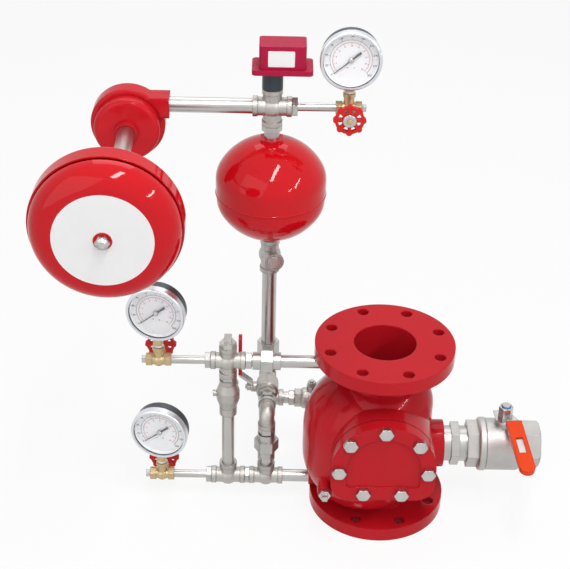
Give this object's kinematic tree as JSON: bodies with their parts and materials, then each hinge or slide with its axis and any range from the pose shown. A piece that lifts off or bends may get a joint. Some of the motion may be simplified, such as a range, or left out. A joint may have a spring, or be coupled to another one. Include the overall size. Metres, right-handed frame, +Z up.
{
  "type": "sprinkler alarm valve",
  "caption": "Flanged wet-pipe sprinkler alarm valve with hinged clapper, bypass trim, retard chamber, pressure switch, gauges, drain valve and water motor gong.",
  "frame": {"origin": "centre of the inlet flange's face", "axes": "+Z up the waterway from inlet to outlet, -Y out of the hatch, +X towards the main drain"},
  "size_m": [0.799, 0.48, 0.8084],
  "materials": {
    "red_casting": "gloss red paint",
    "red_sheet": "gloss red paint",
    "bronze": "machined bronze",
    "brass": "forged brass",
    "rubber": "moulded",
    "steel": "satin stainless",
    "cast_steel": "blasted cast stainless",
    "orange_sleeve": "moulded vinyl",
    "red_sleeve": "moulded vinyl",
    "black_plastic": "moulded",
    "switch_red": "textured paint on die casting",
    "gauge_case": "satin",
    "bezel": "polished",
    "dial": "printed",
    "lens": "clear",
    "pointer": "black",
    "handwheel": "gloss red paint"
  },
  "bodies": {
    "valve": {"valve_body": "red_casting", "seat_ring": "bronze", "hinge_pin": "steel", "hatch_cover": "red_casting", "hatch_gasket": "rubber", "hatch_bolts": "steel", "pipe_plugs": "steel", "drain_nipple": "steel", "drain_valve_body": "steel", "drain_valve_end": "steel", "trim_pipes": "steel", "trim_fittings": "cast_steel", "hex_nipples": "steel", "reducing_bushes": "steel", "unions": "steel", "check_valve_body": "cast_steel", "small_valve_bodies": "cast_steel", "drip_valve": "brass", "retard_lower": "red_sheet", "retard_upper": "red_sheet", "switch_collar": "black_plastic", "switch_base": "switch_red", "switch_cover": "switch_red", "gauge_valves": "brass", "gauge_stems": "brass", "gauge_cases": "gauge_case", "gauge_bezels": "bezel", "gauge_dials": "dial", "gauge_lenses": "lens", "motor_housing": "red_casting", "motor_cover": "red_casting", "shaft_tube": "steel", "gong_plate": "red_sheet", "gong_stud": "steel", "gong_dome": "red_sheet"},
    "clapper": {"clapper": "bronze", "clapper_facing": "rubber"},
    "drain_lever": {"drain_ball": "steel", "drain_lever": "steel", "drain_sleeve": "orange_sleeve", "drain_lock_nut": "steel"},
    "check_disc": {"check_disc": "bronze"},
    "test_lever": {"test_ball": "steel", "test_lever": "steel", "test_sleeve": "red_sleeve"},
    "alarm_lever": {"alarm_ball": "steel", "alarm_lever": "steel", "alarm_sleeve": "red_sleeve"},
    "switch_plunger": {"switch_plunger": "steel"},
    "gong_drive": {"motor_runner": "bronze", "striker": "bronze"},
    "pointer_upper": {"pointer_upper": "pointer"},
    "spindle_upper": {"spindle_upper": "steel"},
    "handwheel_upper": {"handwheel_upper": "handwheel"},
    "pointer_lower": {"pointer_lower": "pointer"},
    "spindle_lower": {"spindle_lower": "steel"},
    "handwheel_lower": {"handwheel_lower": "handwheel"},
    "pointer_top": {"pointer_top": "pointer"},
    "spindle_top": {"spindle_top": "steel"},
    "handwheel_top": {"handwheel_top": "handwheel"}
  },
  "joints": [
    {"name": "clapper_hinge", "type": "hinge", "parent": "valve", "child": "clapper", "pos_m": [-0.084, 0, 0.1223], "axis": [0, -1, 0], "range_deg": [0, 60]},
    {"name": "drain_lever_turn", "type": "hinge", "parent": "valve", "child": "drain_lever", "pos_m": [0.21, 0, 0.12], "axis": [0, 0, 1], "range_deg": [-6, 84]},
    {"name": "check_disc_swing", "type": "hinge", "parent": "valve", "child": "check_disc", "pos_m": [-0.2555, 0.019, 0.2105], "axis": [-1, 0, 0], "range_deg": [0, 30]},
    {"name": "test_lever_turn", "type": "hinge", "parent": "valve", "child": "test_lever", "pos_m": [-0.1905, 0.0745, 0.177], "axis": [-1, 0, 0], "range_deg": [0, 90]},
    {"name": "alarm_lever_turn", "type": "hinge", "parent": "valve", "child": "alarm_lever", "pos_m": [-0.112, 0.138, 0.108], "axis": [0, 0, 1], "range_deg": [0, 90]},
    {"name": "switch_plunger_slide", "type": "slide", "parent": "valve", "child": "switch_plunger", "axis": [0, 0, 1], "range_m": [0, 0.0025], "stiffness_N_per_m": 300},
    {"name": "gong_drive_spin", "type": "hinge", "parent": "valve", "child": "gong_drive", "pos_m": [-0.418, 0.138, 0.645], "axis": [0, -1, 0], "continuous": true},
    {"name": "pointer_upper_turn", "type": "hinge", "parent": "valve", "child": "pointer_upper", "pos_m": [-0.369, 0, 0.378], "axis": [0.2079, 0.9781, 0], "range_deg": [0, 270], "stiffness_Nm_per_rad": 0.0002},
    {"name": "spindle_upper_slide", "type": "slide", "parent": "valve", "child": "spindle_upper", "axis": [0, -1, 0], "range_m": [0, 0.005]},
    {"name": "handwheel_upper_turn", "type": "hinge", "parent": "spindle_upper", "child": "handwheel_upper", "pos_m": [-0.369, 0.045, 0.283], "axis": [0, -1, 0], "range_deg": [0, 900]},
    {"name": "pointer_lower_turn", "type": "hinge", "parent": "valve", "child": "pointer_lower", "pos_m": [-0.369, 0, 0.1385], "axis": [0.2079, 0.9781, 0], "range_deg": [0, 270], "stiffness_Nm_per_rad": 0.0002},
    {"name": "spindle_lower_slide", "type": "slide", "parent": "valve", "child": "spindle_lower", "axis": [0, -1, 0], "range_m": [0, 0.005]},
    {"name": "handwheel_lower_turn", "type": "hinge", "parent": "spindle_lower", "child": "handwheel_lower", "pos_m": [-0.369, 0.045, 0.0435], "axis": [0, -1, 0], "range_deg": [0, 900]},
    {"name": "pointer_top_turn", "type": "hinge", "parent": "valve", "child": "pointer_top", "pos_m": [-0.07, 0.138, 0.76], "axis": [0, 1, 0], "range_deg": [0, 270], "stiffness_Nm_per_rad": 0.0002},
    {"name": "spindle_top_slide", "type": "slide", "parent": "valve", "child": "spindle_top", "axis": [0, 1, 0], "range_m": [0, 0.005]},
    {"name": "handwheel_top_turn", "type": "hinge", "parent": "spindle_top", "child": "handwheel_top", "pos_m": [-0.07, 0.093, 0.676], "axis": [0, 1, 0], "range_deg": [0, 900]}
  ],
  "couplings": [
    {"joint": "spindle_upper_slide", "follows": "handwheel_upper_turn", "m_per_rad": 0.00031828},
    {"joint": "spindle_lower_slide", "follows": "handwheel_lower_turn", "m_per_rad": 0.00031828},
    {"joint": "spindle_top_slide", "follows": "handwheel_top_turn", "m_per_rad": 0.00031828}
  ]
}
